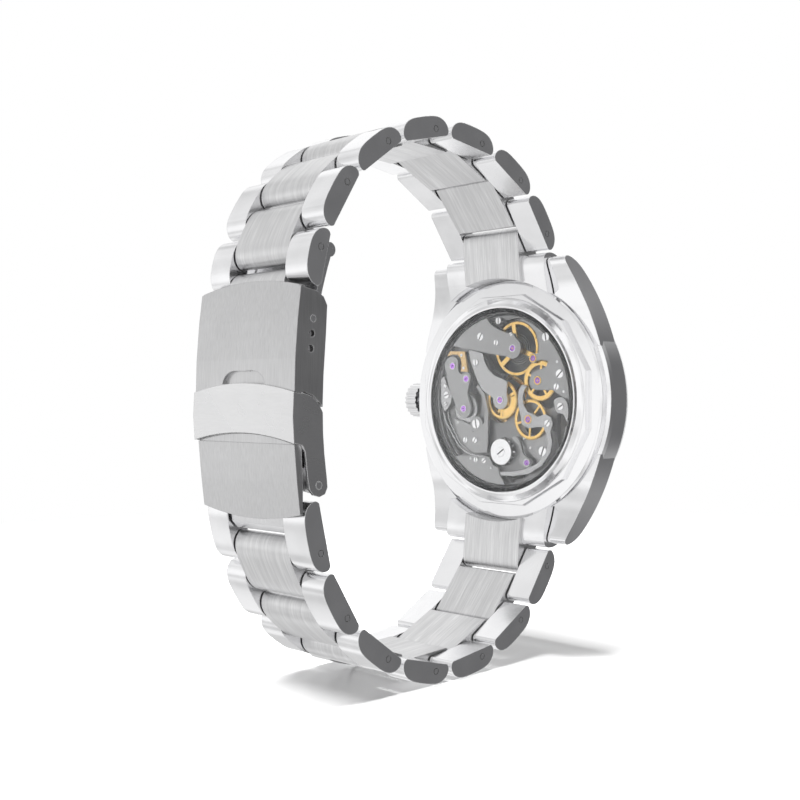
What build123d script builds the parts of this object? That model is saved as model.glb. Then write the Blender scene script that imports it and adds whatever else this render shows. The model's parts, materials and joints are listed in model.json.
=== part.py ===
from build123d import *
from math import atan2, cos, degrees, pi, radians, sin
import os

# Skeleton chronograph wristwatch on a steel link bracelet, closed as if round a wrist.
# X runs to the crown (3 o'clock), Y from the dial to the wrist, Z to 12 o'clock, all in millimetres.
# The origin is the centre of the rear crystal's outer face, where the watch rests on the wrist.

# ---- driving dimensions ----
CASE_R = 19.45                 # middle case, outside
CASE_BACK_Y = -2.5             # middle case, wrist side
BEZEL_Y = -6.5                 # middle case meets the bezel
FRONT_Y = -9.0                 # front edge of the bezel
BACK_RING_R = 18.5             # case back, outside
WINDOW_R = 14.25               # rear crystal
CRYSTAL_R = 15.4               # front crystal
REAR_GLASS_T = 0.6
MOVEMENT_R = 13.3
RING_R = 15.25                 # movement ring, outside

LUG_GAP = 19.9                 # clear width between a pair of lugs
SPRING_BAR_Y = -0.9
SPRING_BAR_Z = 20.75
SPRING_BAR_R = 0.75

HINGE_1 = (0.05, 24.83)        # first bracelet hinge, as (Y, Z)
FIRST_CHORD = 49.0             # direction from hinge 1 to hinge 2, degrees from +Y
TURNS = (24.4, 21.9, 21.9, 21.9, 21.9)
PITCH = 9.47
SIDE_TILT = 4.9                # a side piece stands this much steeper than its chord
LINKS = 7                      # links in each half of the bracelet
LINK_T = 2.85
PIN_HEIGHT = 1.1               # pin above the wrist face
SIDE_BACK = 2.4                # pin to the case end of a side piece
SIDE_FRONT = 6.4               # pin to the clasp end of a side piece
CENTRE_BACK = 2.55             # hinge to the case end of a centre piece
CENTRE_NOSE = 1.65             # next hinge to the clasp end of a centre piece
CENTRE_HALF = 5.5
SIDE_IN = 5.7
SIDE_OUT = 9.8
PIN_R = 0.45
PIN_BORE = 0.5

CLASP_HALF = 10.05
CLASP_BAR = (46.2, 9.8)        # spring bar in the first adjusting hole
CLASP_HOLES = (9.8, 8.0, 6.17)
CLASP_HOLE_STEP_Y = 0.19
FOLD_1 = (45.4, -10.3)         # clasp cover to outer blade, also the safety catch pivot
FOLD_2 = (41.7, 18.7)          # outer blade to inner blade
FOLD_3 = (45.3, -14.3)         # inner blade to the last lower link
BLADE_HALF = 8.0
ARCH = 1.15                    # the middle of a clasp plate's edge stands this much beyond its corners

BRIDGE_TOP = -0.75
WHEEL_TOP = -1.3
WHEEL_T = 0.28
GEAR_MODULE = 0.1
RUNNER_TEETH = 60              # the coupling wheel stands clear of the runner: the chronograph is off
DRIVE_AT = (7.39, 2.96)
COUPLING_AT = (5.56, -2.97)
BALANCE_AT = (2.5, 8.0)
ESCAPE_AT = (6.5, 6.35)
COLUMN_AT = (0.0, -8.1)
RATCHET_AT = (-7.6, -1.4)
CROWN_Y = -5.2
CROWN_R = 2.95
CROWN_X = 20.0
RUN_FIT = 0.03                 # radial clearance of an arbor in its jewel
PALLET_FORK_AT = (4.55, 7.1)


def mesh_phase(teeth, at, other_teeth, other_phase, other_at):
    """The phase that puts a gap of one wheel opposite a tooth of the other, on their line of centres."""
    toward = atan2(other_at[1] - at[1], other_at[0] - at[0]) / (2 * pi)
    return teeth * toward - (0.5 - (other_phase - other_teeth * (toward + 0.5)))


COUPLING_PHASE = mesh_phase(62, COUPLING_AT, 62, 0.0, DRIVE_AT)

os.makedirs("parts", exist_ok=True)


def back(y):
    """The plane across the watch at depth y, seen from the wrist: x to 9 o'clock, y to 12 o'clock."""
    return Plane(origin=(0, y, 0), x_dir=(-1, 0, 0), z_dir=(0, 1, 0))


def side(x):
    """The plane along the bracelet at width x: its x runs along +Y and its y along +Z."""
    return Plane(origin=(x, 0, 0), x_dir=(0, 1, 0), z_dir=(1, 0, 0))


def save(piece, label):
    piece.part.label = label
    export_step(piece.part, f"parts/{label}.step")


def disc(top, thick, radius, at=(0, 0), mode=Mode.ADD):
    with BuildSketch(back(top)) as flat:
        with Locations(at):
            Circle(radius)
    extrude(flat.sketch, amount=-thick, mode=mode)


def ring(top, thick, outer, inner, at=(0, 0)):
    with BuildSketch(back(top)) as flat:
        with Locations(at):
            Circle(outer)
            Circle(inner, mode=Mode.SUBTRACT)
    extrude(flat.sketch, amount=-thick)


def slab(top, thick, outline, mode=Mode.ADD):
    """A flat piece with straight edges."""
    with BuildSketch(back(top)) as flat:
        with BuildLine():
            Polyline(*outline, close=True)
        make_face()
    extrude(flat.sketch, amount=-thick, mode=mode)


def bar(top, thick, start, end, width, mode=Mode.ADD):
    """A flat round-ended bar from one point to another."""
    dx = end[0] - start[0]
    dy = end[1] - start[1]
    length = (dx * dx + dy * dy) ** 0.5
    middle = ((start[0] + end[0]) / 2, (start[1] + end[1]) / 2)
    with BuildSketch(back(top)) as flat:
        with Locations(Location(middle, degrees(atan2(dy, dx)))):
            SlotCenterToCenter(length, width)
    extrude(flat.sketch, amount=-thick, mode=mode)


def strip(top, thick, route, width):
    """A thin flat spring that follows a smooth route."""
    with BuildSketch(back(top)) as flat:
        with BuildLine() as path:
            Spline(*route)
        trace(path.line, line_width=width)
    extrude(flat.sketch, amount=-thick)


def gear(top, thick, teeth, phase, at, inner, module=GEAR_MODULE, arms=0, arm_width=0.4, start=0.0, hub=0.6):
    """A toothed wheel with arms; phase shifts the teeth by a part of the tooth pitch."""
    pitch_r = teeth * module / 2
    points = []
    for tooth in range(teeth):
        for offset, radius in ((-0.27, -1.2), (-0.1, 0.8), (0.1, 0.8), (0.27, -1.2)):
            angle = 2 * pi * (tooth + offset + phase) / teeth
            r = pitch_r + radius * module
            points.append((at[0] + r * cos(angle), at[1] + r * sin(angle)))
    with BuildSketch(back(top)) as flat:
        with BuildLine():
            Polyline(*points, close=True)
        make_face()
        with Locations(at):
            Circle(inner, mode=Mode.SUBTRACT)
            if arms:
                Circle(hub)
        for number in range(arms):
            with Locations(Location(at, start + 360 * number / arms)):
                with Locations((inner / 2 + 0.05, 0)):
                    Rectangle(inner + 0.1, arm_width)
    extrude(flat.sketch, amount=-thick)


def screw(top, at, head_r, slot_angle, head_t=0.22, shank=0.8):
    """A slotted screw whose head stands on the plane top."""
    with BuildSketch(back(top)) as flat:
        with Locations(at):
            Circle(head_r)
    extrude(flat.sketch, amount=head_t)
    with BuildSketch(back(top + head_t)) as flat:
        with Locations(Location(at, slot_angle)):
            Rectangle(2 * head_r, 0.28 * head_r)
    extrude(flat.sketch, amount=-head_t * 0.6, mode=Mode.SUBTRACT)
    disc(top, shank, head_r * 0.5, at)


def turned(profile):
    """A turned ring or disc: profile is a closed list of (radius, Y)."""
    with BuildSketch(Plane.XY) as flat:
        with BuildLine():
            Polyline(*profile, close=True)
        make_face()
    revolve(flat.sketch, axis=Axis.Y)


def across(x_from, x_to, outline, mode=Mode.ADD):
    """A piece with a straight-edged (Y, Z) outline between two widths."""
    with BuildSketch(side(x_from)) as flat:
        with BuildLine():
            Polyline(*outline, close=True)
        make_face()
    extrude(flat.sketch, amount=x_to - x_from, mode=mode)


def rod(x_from, x_to, at, radius, mode=Mode.ADD):
    """A round rod along X at (Y, Z)."""
    with BuildSketch(side(x_from)) as flat:
        with Locations(at):
            Circle(radius)
    extrude(flat.sketch, amount=x_to - x_from, mode=mode)


# ---- case ----
LUG_SIDE = (
    (-2.2, 12.0), (-1.6, 16.0), (-0.7, 18.6), (0.0, 20.2), (0.1, 20.9), (-0.35, 21.35),
    (-1.4, 21.35), (-2.9, 20.6), (-4.6, 18.5), (-5.7, 15.9), (-6.3, 12.0),
)

LUG_PLAN = ((12.9, 21.6), (13.7, 19.0), (14.9, 15.6), (16.3, 12.0), (17.6, 8.0))

with BuildPart() as lugs:
    for sz in (-1, 1):
        with BuildSketch(side(-19)):
            with BuildLine():
                Spline(*((y, sz * z) for y, z in LUG_SIDE))
                Polyline((LUG_SIDE[-1][0], sz * LUG_SIDE[-1][1]), (-6.5, sz * 7.0), (-2.55, sz * 7.0),
                         (LUG_SIDE[0][0], sz * LUG_SIDE[0][1]))
            make_face()
        extrude(amount=38)
with BuildPart() as lug_plan:
    with BuildSketch(back(2)):
        for sx in (-1, 1):
            for sz in (-1, 1):
                with BuildLine():
                    Spline(*((sx * x, sz * z) for x, z in LUG_PLAN))
                    Polyline((sx * LUG_PLAN[-1][0], sz * LUG_PLAN[-1][1]), (sx * LUG_GAP / 2, sz * 8.0),
                             (sx * LUG_GAP / 2, sz * 21.6), (sx * LUG_PLAN[0][0], sz * LUG_PLAN[0][1]))
                make_face()
    extrude(amount=-12)

with BuildPart() as mid_case:
    add(lugs.part)
    add(lug_plan.part, mode=Mode.INTERSECT)
    with BuildSketch(back(0)):
        Circle(17.2)
    extrude(amount=-12, mode=Mode.SUBTRACT)
    turned(((15.3, -3.7), (16.0, -3.7), (16.0, CASE_BACK_Y), (18.7, CASE_BACK_Y), (19.25, -2.75),
            (CASE_R, -3.4), (CASE_R, BEZEL_Y), (16.0, BEZEL_Y), (15.3, BEZEL_Y)))
    with BuildSketch(back(CASE_BACK_Y)):
        Circle(18.68)
    extrude(amount=6, mode=Mode.SUBTRACT)
    with BuildSketch(back(BEZEL_Y)):
        Circle(19.5)
    extrude(amount=-6, mode=Mode.SUBTRACT)
    for sx in (-1, 1):
        for sz in (-1, 1):
            rod(sx * (LUG_GAP / 2 - 0.1), sx * (LUG_GAP / 2 + 1.2), (SPRING_BAR_Y, sz * SPRING_BAR_Z),
                0.45, mode=Mode.SUBTRACT)
    with BuildSketch(Plane(origin=(14, CROWN_Y, 0), x_dir=(0, 1, 0), z_dir=(1, 0, 0))):
        Circle(1.25)
    extrude(amount=7, mode=Mode.SUBTRACT)
save(mid_case, "mid_case")

with BuildPart() as bezel:
    turned(((15.28, BEZEL_Y - 0.35), (15.65, BEZEL_Y - 0.35), (15.65, BEZEL_Y), (19.2, BEZEL_Y),
            (19.1, -7.1), (18.75, -7.9), (18.0, -8.7), (17.4, FRONT_Y), (15.65, FRONT_Y), (15.65, -8.25),
            (15.25, -8.25), (14.85, BEZEL_Y - 0.35)))
save(bezel, "bezel")

with BuildPart() as front_crystal:
    turned(((0, -8.4), (CRYSTAL_R, -8.4), (CRYSTAL_R, -9.0), (CRYSTAL_R - 0.3, -9.3), (0, -9.3)))
save(front_crystal, "front_crystal")

with BuildPart() as movement_ring:
    turned(((MOVEMENT_R + 0.03, -2.6), (13.7, -2.3), (RING_R, -2.3), (RING_R, -6.3),
            (MOVEMENT_R + 0.03, -6.3)))
    with BuildSketch(Plane(origin=(12, CROWN_Y, 0), x_dir=(0, 1, 0), z_dir=(1, 0, 0))):
        Circle(1.0)
    extrude(amount=5, mode=Mode.SUBTRACT)
save(movement_ring, "movement_ring")

with BuildPart() as caseback:
    turned(((WINDOW_R + 0.1, -1.3), (WINDOW_R + 0.1, -0.22), (14.6, -0.2), (15.0, -0.3),
            (15.6, -0.62), (15.9, -0.75), (15.9, -1.55), (18.2, -1.55), (BACK_RING_R, -1.75),
            (BACK_RING_R, CASE_BACK_Y), (15.95, CASE_BACK_Y), (15.95, -3.4), (15.35, -3.4),
            (15.35, -1.7), (13.6, -1.7), (13.6, -1.3)))
    with BuildSketch(back(-1.55)):
        RegularPolygon(16.25, 12, major_radius=False, rotation=15)
        Circle(15.6, mode=Mode.SUBTRACT)
    extrude(amount=0.72, taper=8)
save(caseback, "caseback")

with BuildPart() as back_crystal:
    turned(((0, -REAR_GLASS_T), (WINDOW_R, -REAR_GLASS_T), (WINDOW_R, -0.15), (WINDOW_R - 0.15, 0),
            (0, 0)))
save(back_crystal, "back_crystal")

with BuildPart() as gaskets:
    turned(((CRYSTAL_R, -8.3), (15.65, -8.3), (15.65, -8.95), (CRYSTAL_R, -8.95)))
    turned(((WINDOW_R - 0.6, -REAR_GLASS_T), (WINDOW_R, -REAR_GLASS_T), (WINDOW_R, -1.3),
            (WINDOW_R - 0.6, -1.3)))
save(gaskets, "crystal_gaskets")

with BuildPart() as crown_tube:
    with BuildSketch(Plane(origin=(16.1, CROWN_Y, 0), x_dir=(0, 1, 0), z_dir=(1, 0, 0))):
        Circle(1.25)
        Circle(0.75, mode=Mode.SUBTRACT)
    extrude(amount=4.6)
save(crown_tube, "crown_tube")


# ---- dial side ----
DIAL_TOP = -6.42
DIAL_T = 0.38
SMALL_DIAL_R = 3.4
with BuildPart() as dial:
    with BuildSketch(back(DIAL_TOP)):
        Circle(15.2)
        Circle(11.2, mode=Mode.SUBTRACT)
        Circle(3.1)
        with Locations(DRIVE_AT):
            Circle(SMALL_DIAL_R)
        for angle in (75, 120, 180, 240, 300, 21.8):
            with Locations(Location((0, 0), angle)):
                with Locations((6.0, 0)):
                    Rectangle(12.0, 0.9)
        Circle(0.95, mode=Mode.SUBTRACT)
        with Locations(DRIVE_AT):
            Circle(SMALL_DIAL_R - 0.9, mode=Mode.SUBTRACT)
    extrude(amount=-DIAL_T)
    with BuildSketch(back(DIAL_TOP - DIAL_T - 0.01)):
        with PolarLocations(13.2, 12):
            Rectangle(2.4, 0.7)
        with PolarLocations(14.65, 60):
            Rectangle(0.3, 0.12)
    extrude(amount=-0.25)
save(dial, "openworked_dial")


def hand(top, thick, length, width, tail, hub, bore):
    """A hand that points to 12 o'clock, before it is turned to its hour."""
    with BuildSketch(back(top)) as flat:
        with BuildLine():
            Polyline((-width / 2, 0), (-width / 2.4, length * 0.8), (0, length), (width / 2.4, length * 0.8),
                     (width / 2, 0), (width / 3, -tail), (-width / 3, -tail), close=True)
        make_face()
        Circle(hub)
        Circle(bore, mode=Mode.SUBTRACT)
    extrude(flat.sketch, amount=-thick)


HOUR_ANGLE = 305.0
MINUTE_ANGLE = 60.0

with BuildPart() as hour_hand:
    hand(-7.05, 0.18, 8.0, 1.3, 0.0, 1.0, 0.62)
    with BuildSketch(back(-5.0)):
        Circle(0.9)
        Circle(0.62, mode=Mode.SUBTRACT)
    extrude(amount=-2.1)
with BuildPart() as hour_hand_set:
    add(hour_hand.part.rotate(Axis.Y, HOUR_ANGLE))
save(hour_hand_set, "hour_hand")

with BuildPart() as minute_hand:
    hand(-7.35, 0.16, 12.0, 1.1, 0.0, 0.85, 0.35)
    with BuildSketch(back(-4.7)):
        Circle(0.57)
        Circle(0.35, mode=Mode.SUBTRACT)
    extrude(amount=-2.7)
with BuildPart() as minute_hand_set:
    add(minute_hand.part.rotate(Axis.Y, MINUTE_ANGLE))
save(minute_hand_set, "minute_hand")

with BuildPart() as seconds_hand:
    hand(-7.65, 0.12, 13.2, 0.35, 4.0, 0.7, 0.2)
    with BuildSketch(back(-7.77)):
        Circle(0.45)
    extrude(amount=-0.15)
save(seconds_hand, "chronograph_hand")

with BuildPart() as small_hand:
    with BuildSketch(back(-6.9)):
        with Locations(DRIVE_AT):
            Circle(0.45)
            Circle(0.17, mode=Mode.SUBTRACT)
            with Locations((0, 0.9)):
                Rectangle(0.22, 2.3)
        with Locations(DRIVE_AT):
            Circle(0.17, mode=Mode.SUBTRACT)
    extrude(amount=-0.12)
save(small_hand, "small_seconds_hand")


# ---- movement: plates and bridges ----
def bridge(top, thick, outline, lobes=(), holes=(), smooth=False):
    """A plate of the movement: an outline with round lobes, kept inside the movement's edge."""
    with BuildSketch(back(top)) as flat:
        with BuildLine():
            if smooth:
                Spline(*outline, periodic=True)
            else:
                Polyline(*outline, close=True)
        make_face()
        for at, radius in lobes:
            with Locations(at):
                Circle(radius)
        Circle(MOVEMENT_R - 0.1, mode=Mode.INTERSECT)
        for at, radius in holes:
            with Locations(at):
                Circle(radius, mode=Mode.SUBTRACT)
    extrude(flat.sketch, amount=-thick)


SCREWS = (
    ((-4.0, 10.05), 0.62, 60), ((-0.75, 9.0), 0.45, 80), ((2.25, 10.2), 0.28, 20), ((-5.0, 6.0), 0.52, 95),
    ((8.95, 9.5), 0.66, 100), ((11.55, 3.9), 0.66, 45), ((10.95, 2.0), 0.48, 75), ((11.1, 5.7), 0.2, 0),
    ((12.3, 1.25), 0.2, 0),
)
LOW_SCREWS = (
    ((-11.45, 0.8), 0.55, 20), ((-11.7, 2.3), 0.3, 70), ((-11.7, -0.6), 0.3, 40), ((11.55, -0.95), 0.55, 30),
)
COUNTER_SCREWS = (
    ((-4.95, -3.8), 0.78, 100), ((-7.2, -6.4), 0.45, 80), ((-5.2, -6.4), 0.48, 60), ((-8.8, -3.6), 0.2, 0),
)
BASE_SCREWS = (((-5.0, -9.5), 0.42, 100), ((-6.1, -9.4), 0.2, 0), ((-1.85, -10.7), 0.18, 0),
               ((-3.3, -9.6), 0.42, 40))
DEEP_SCREWS = (((7.85, -7.8), 0.75, 70), ((5.5, -7.35), 0.22, 0), ((4.2, -5.9), 0.18, 0))
CLAMP_SCREWS = (((-8.0, 7.2), 0.24, 0), ((-7.55, 5.15), 0.24, 0))
TOP_SCREW = ((-0.9, 12.45), 0.55, 90)
LEVER_SCREW = ((9.25, -3.5), 0.5, 50)
ALL_SCREWS = (*SCREWS, *LOW_SCREWS, *COUNTER_SCREWS, *BASE_SCREWS, *DEEP_SCREWS, *CLAMP_SCREWS, TOP_SCREW,
              LEVER_SCREW)


def pierce():
    """Clear the screws' shanks through a plate of the movement."""
    with BuildSketch(back(0)) as flat:
        for at, radius, _ in ALL_SCREWS:
            with Locations(at):
                Circle(radius * 0.5 + 0.01)
    extrude(flat.sketch, amount=-4, mode=Mode.SUBTRACT)


PLATE_TOP = -1.85
PLATE_T = 0.9
SPRING_TOP = -0.63
SPRING_T = 0.2
DEEP_TOP = -1.62
JEWEL_R = 0.48
LEFT_DARK = ((-6.7, 8.4), (-5.9, 5.0), (-5.0, 2.4), (-4.7, 0.2), (-4.9, -2.0), (-5.6, -3.2),
             (-6.6, -2.4), (-6.2, 0.6), (-6.5, 3.2), (-7.2, 5.4), (-8.4, 7.6))

with BuildPart() as mainplate:
    disc(-5.7, 0.6, MOVEMENT_R)
    disc(-5.5, 1.0, 0.95, mode=Mode.SUBTRACT)
    disc(-5.5, 1.0, 0.22, DRIVE_AT, mode=Mode.SUBTRACT)
    ring(PLATE_TOP - PLATE_T, 3.0, MOVEMENT_R, MOVEMENT_R - 0.75)
    for angle in (35, 95, 150, 215, 270, 320):
        disc(PLATE_TOP - PLATE_T, 3.0, 0.8, (12.0 * cos(radians(angle)), 12.0 * sin(radians(angle))))
    with BuildSketch(Plane(origin=(11.2, CROWN_Y, 0), x_dir=(0, 1, 0), z_dir=(1, 0, 0))):
        Circle(0.9)
    extrude(amount=3, mode=Mode.SUBTRACT)
save(mainplate, "mainplate")

PITS = ((BALANCE_AT, 4.75), ((1.6, 1.4), 2.9), ((-0.8, -1.0), 2.6), (COLUMN_AT, 2.2), ((8.6, 1.2), 2.5),
        ((5.9, -3.6), 1.9), (RATCHET_AT, 2.75))
HOLLOWS = (
    LEFT_DARK,
    ((-3.9, 7.3), (-0.4, 7.0), (0.4, 4.6), (-0.8, 3.9), (-2.6, 4.8)),
    ((-12.7, 3.8), (-12.9, -1.5), (-12.0, -5.2), (-9.4, -8.9), (-8.4, -8.7), (-10.6, -5.2), (-11.7, -1.2)),
    ((10.2, -2.2), (11.6, -1.6), (12.4, -2.6), (11.7, -5.4), (10.6, -7.2), (10.2, -5.0)),
    ((-0.4, -11.4), (2.2, -11.2), (4.8, -11.3), (4.4, -12.4), (1.4, -12.9)),
    ((-2.8, 12.6), (-1.8, 12.0), (0.2, 11.7), (0.9, 12.4), (-0.8, 12.95)),
)
with BuildPart() as train_plate:
    with BuildSketch(back(PLATE_TOP)):
        Circle(MOVEMENT_R - 0.05)
        for at, radius in PITS:
            with Locations(at):
                Circle(radius, mode=Mode.SUBTRACT)
        for outline in HOLLOWS:
            with BuildLine():
                Polyline(*outline, close=True)
            make_face(mode=Mode.SUBTRACT)
    extrude(amount=-PLATE_T)
    pierce()
save(train_plate, "train_plate")

with BuildPart() as balance_cock:
    bridge(BRIDGE_TOP, 0.5, ((-10.6, 8.9), (-1.0, 7.12), (1.6, 6.7), (3.2, 9.4), (2.6, 10.3), (1.2, 10.45),
                             (-0.4, 11.05), (-1.9, 11.9), (-3.1, 13.4), (-8.0, 13.0)),
           lobes=((BALANCE_AT, 1.62),), holes=((BALANCE_AT, JEWEL_R),))
    bridge(BRIDGE_TOP - 0.5, 0.6, ((-10.6, 9.1), (-3.4, 7.9), (-3.2, 12.9), (-8.0, 13.0)))
    pierce()
save(balance_cock, "balance_cock")

with BuildPart() as chronograph_bridge:
    bridge(BRIDGE_TOP - 0.04, 0.4, ((-6.6, 8.05), (-6.15, 6.2), (-5.3, 4.2), (-4.45, 2.7), (-3.7, 1.65),
                                    (-2.8, 1.1), (-1.5, 0.3), (1.2, -0.4), (1.35, 2.9), (0.4, 3.3),
                                    (-1.2, 3.85), (-2.5, 4.9), (-3.3, 6.2), (-3.6, 7.4), (-5.0, 7.75)),
           lobes=(((0, 0), 1.45),), holes=(((0, 0), JEWEL_R),))
    bar(BRIDGE_TOP - 0.44, 0.66, (-5.6, 6.6), (-4.9, 4.4), 1.2)
    pierce()
save(chronograph_bridge, "chronograph_bridge")

with BuildPart() as train_bridge:
    bridge(BRIDGE_TOP, 0.4, ((3.9, 13.6), (4.2, 12.2), (5.6, 11.6), (7.0, 10.3),
                             (7.6, 8.4), (7.5, 7.1), (6.5, 6.9), (6.5, 5.9), (8.2, 6.1), (9.4, 5.85),
                             (9.0, 5.0), (7.6, 4.55), (6.2, 4.1), (5.8, 2.6), (6.2, 1.8), (7.4, 1.5),
                             (10.2, 1.5), (11.2, 0.9), (12.2, 0.4), (13.6, 0.0), (13.6, 13.6)),
           lobes=((ESCAPE_AT, 0.75), (DRIVE_AT, 1.45)), holes=((DRIVE_AT, JEWEL_R), (ESCAPE_AT, 0.4)))
    bridge(BRIDGE_TOP - 0.35, 0.75, ((7.9, 11.9), (8.7, 8.6), (9.6, 7.8), (11.4, 6.6), (11.9, 1.4),
                                     (13.6, 1.0), (13.6, 13.6)))
    pierce()
save(train_bridge, "train_bridge")

with BuildPart() as ratchet_bridge:
    bridge(BRIDGE_TOP - 0.05, 0.4, ((-11.6, 4.9), (-11.1, 3.0), (-10.6, 1.4), (-9.5, -0.6), (-9.0, -1.9),
                                    (-7.6, -2.9), (-6.4, -2.3), (-6.15, -1.0), (-6.7, 0.4), (-6.75, 1.6),
                                    (-6.3, 3.0), (-6.25, 4.0), (-7.2, 4.5), (-8.2, 4.2), (-8.7, 4.6),
                                    (-8.9, 6.3), (-9.6, 7.0), (-10.9, 6.9), (-11.7, 6.0)), smooth=True,
           holes=(((-10.0, 5.55), JEWEL_R), ((-7.05, 3.4), JEWEL_R), (RATCHET_AT, JEWEL_R)))
    bar(BRIDGE_TOP - 0.45, 0.65, (-10.4, 4.4), (-9.6, 2.6), 0.9)
    pierce()
save(ratchet_bridge, "ratchet_bridge")

with BuildPart() as click_plate:
    bridge(BRIDGE_TOP - 0.25, 0.35, ((-12.9, 3.4), (-12.1, 3.9), (-11.4, 2.4), (-10.4, 0.7), (-10.6, -0.4),
                                     (-11.4, -1.5), (-11.9, -1.9), (-12.7, -0.6)))
    bar(BRIDGE_TOP - 0.55, 0.55, (-11.9, 1.6), (-11.9, 0.4), 0.9)
    bridge(BRIDGE_TOP - 0.25, 0.35, ((10.6, 0.2), (12.3, 0.1), (12.9, -1.4), (12.6, -3.2), (12.0, -2.2),
                                     (10.9, -1.9), (10.4, -1.0)), smooth=True)
    bar(BRIDGE_TOP - 0.55, 0.55, (11.5, -0.9), (11.7, -0.9), 0.7)
    pierce()
    strip(SPRING_TOP, SPRING_T, ((-11.8, -2.2), (-11.4, -3.4), (-10.2, -5.2), (-8.2, -7.6), (-5.6, -8.75),
                                 (-3.3, -8.85)), 0.2)
    strip(SPRING_TOP, SPRING_T, ((-10.9, -2.0), (-10.8, -2.8), (-9.6, -4.9), (-8.0, -7.1), (-7.2, -7.5)),
          0.16)
    strip(SPRING_TOP - 0.25, 0.4, ((12.6, -3.9), (12.2, -5.6), (10.9, -7.9)), 0.14)
save(click_plate, "chronograph_levers")

with BuildPart() as counter_bridge:
    bridge(BRIDGE_TOP - 0.1, 0.4, ((-9.8, -3.0), (-8.4, -3.3), (-6.4, -3.9), (-5.7, -5.1), (-4.4, -5.0),
                                   (-3.4, -3.6), (-3.2, -1.4), (-4.0, 0.8), (-5.0, 2.1), (-4.6, 2.5),
                                   (-3.2, 0.9), (-2.5, -1.9), (-2.6, -6.2), (-2.75, -8.3), (-5.4, -8.5),
                                   (-7.4, -7.3), (-9.0, -5.2)),
           lobes=(((-4.95, -3.9), 1.3),))
    bar(BRIDGE_TOP - 0.45, 0.65, (-6.6, -5.7), (-4.2, -6.6), 1.4)
    pierce()
save(counter_bridge, "counter_bridge")

with BuildPart() as base_bridge:
    bridge(BRIDGE_TOP - 0.15, 0.4, ((-10.6, -9.3), (-8.4, -9.0), (-3.4, -8.75), (-2.3, -9.0), (-1.6, -10.2),
                                    (-0.5, -10.6), (-0.3, -11.6), (0.5, -12.6), (0.9, -13.6),
                                    (-6.0, -13.6)),
           holes=((COLUMN_AT, 2.3),))
    bar(BRIDGE_TOP - 0.5, 0.6, (-7.4, -10.1), (-3.0, -11.6), 1.4)
    bridge(BRIDGE_TOP - 0.2, 0.35, ((2.5, -5.7), (3.2, -5.7), (4.0, -6.9), (4.6, -8.4), (5.4, -8.8),
                                    (6.1, -9.3), (6.0, -10.0), (5.2, -10.4), (4.4, -10.2), (3.6, -9.5),
                                    (3.9, -8.4), (3.4, -6.9)), smooth=True, holes=(((5.25, -9.6), 0.4),))
    bar(BRIDGE_TOP - 0.5, 0.6, (4.6, -9.0), (5.1, -9.0), 0.5)
    bridge(DEEP_TOP, 0.22, ((3.2, -5.2), (5.0, -6.0), (7.6, -5.6), (9.2, -4.4), (10.0, -5.0),
                            (10.2, -7.4), (8.6, -9.6), (6.6, -10.6), (6.5, -9.2), (5.6, -8.4),
                            (4.9, -7.9), (4.3, -6.6)))
    pierce()
save(base_bridge, "lower_bridges")

with BuildPart() as coupling_lever:
    bridge(BRIDGE_TOP + 0.02, 0.36, ((4.4, 2.4), (3.75, 1.5), (3.55, 0.2), (3.75, -1.3), (4.2, -2.6),
                                     (4.3, -3.7), (5.6, -4.3), (7.4, -4.1), (8.5, -4.1), (9.0, -5.0),
                                     (9.3, -6.6), (8.9, -8.0), (7.4, -9.6), (5.0, -10.6), (2.4, -11.1),
                                     (0.1, -11.2), (0.1, -11.75), (2.6, -11.75), (5.6, -11.3),
                                     (8.2, -9.9), (9.7, -8.0), (10.1, -6.4), (9.8, -4.8), (10.2, -3.6),
                                     (9.8, -2.5), (8.8, -2.15), (7.4, -2.55), (6.4, -2.1), (5.4, -1.8),
                                     (4.7, -0.8), (4.5, 0.4), (4.8, 1.5), (5.3, 2.1)),
           holes=((COUPLING_AT, JEWEL_R),))
    bar(BRIDGE_TOP - 0.34, 0.4, (9.2, -3.3), (9.3, -3.7), 0.8)
    pierce()
save(coupling_lever, "coupling_lever")

with BuildPart() as hammer_clamp:
    bridge(BRIDGE_TOP + 0.02, 0.4, ((-11.9, 8.0), (-7.35, 7.8), (-6.7, 4.5), (-8.2, 4.6), (-8.0, 5.6),
                                    (-8.2, 6.7), (-8.9, 7.35), (-10.2, 7.4), (-11.0, 7.15),
                                    (-11.85, 7.2)))
    pierce()
save(hammer_clamp, "hammer_clamp")

JEWELS = (
    ((0, 0), JEWEL_R), (BALANCE_AT, JEWEL_R), (DRIVE_AT, JEWEL_R), (COUPLING_AT, JEWEL_R),
    ((-10.0, 5.55), JEWEL_R), ((-7.05, 3.4), JEWEL_R), (RATCHET_AT, JEWEL_R), (ESCAPE_AT, 0.4),
    ((5.25, -9.6), 0.4),
)
PIVOT_R = 0.13

with BuildPart() as jewels:
    for at, radius in JEWELS:
        ring(BRIDGE_TOP + 0.05, 0.36, radius - 0.02, PIVOT_R + RUN_FIT, at)
save(jewels, "jewels")

with BuildPart() as movement_screws:
    for at, radius, angle in SCREWS:
        screw(BRIDGE_TOP, at, radius, angle, head_t=0.12)
    for at, radius, angle in LOW_SCREWS:
        screw(BRIDGE_TOP - 0.25, at, radius, angle)
    for at, radius, angle in COUNTER_SCREWS:
        screw(BRIDGE_TOP - 0.1, at, radius, angle, head_t=0.18)
    for at, radius, angle in BASE_SCREWS:
        screw(BRIDGE_TOP - 0.15, at, radius, angle)
    for at, radius, angle in DEEP_SCREWS:
        screw(DEEP_TOP, at, radius, angle, head_t=0.3)
    screw(BRIDGE_TOP + 0.02, *LEVER_SCREW, head_t=0.11)
    screw(PLATE_TOP, *TOP_SCREW, head_t=0.5)
    for at, radius, angle in CLAMP_SCREWS:
        screw(BRIDGE_TOP + 0.02, at, radius, angle, head_t=0.1)
save(movement_screws, "movement_screws")


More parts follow.
